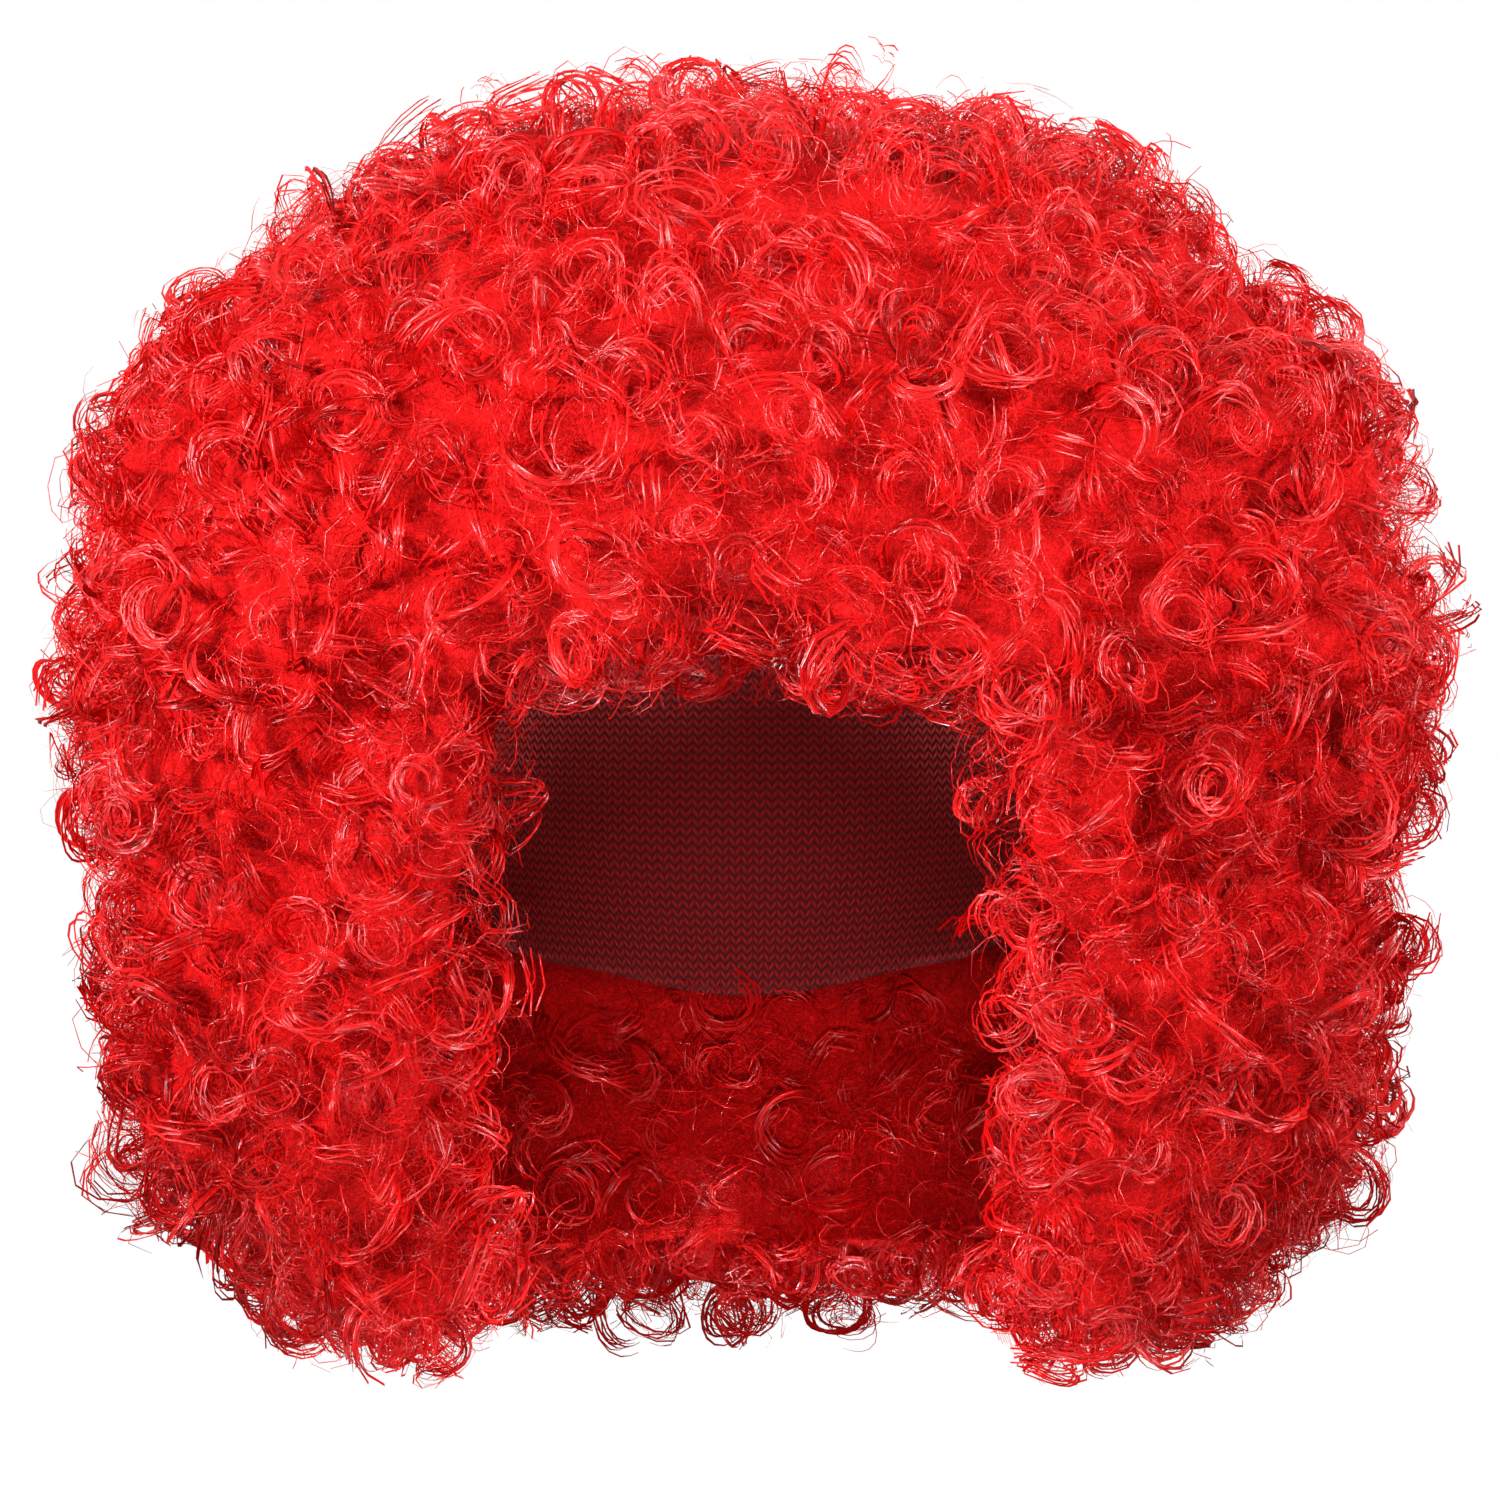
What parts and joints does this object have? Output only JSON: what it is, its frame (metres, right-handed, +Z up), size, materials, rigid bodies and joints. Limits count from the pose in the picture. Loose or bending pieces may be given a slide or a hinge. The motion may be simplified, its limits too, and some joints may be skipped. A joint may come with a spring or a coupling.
{
  "type": "afro wig",
  "caption": "Round, full wig of tight red curls over a stretch cap, with a short fringe above an open face and sides that hang to the jaw.",
  "frame": {"origin": "the inside of the cap at its crown, where the top of a head meets it", "axes": "+Z is up along the head, -Y is the way the face looks, +X is towards the wearer's left"},
  "size_m": [0.3299, 0.307, 0.3066],
  "materials": {
    "cap_knit": "matt dark red knit",
    "curled_fibre": "shiny bright red synthetic fibre in ring curls"
  },
  "bodies": {
    "root": {"cap": "cap_knit", "weft_row_nape": "curled_fibre", "weft_row_ear": "curled_fibre", "weft_row_fringe": "curled_fibre", "weft_row_upper": "curled_fibre", "weft_crown": "curled_fibre"}
  },
  "joints": []
}
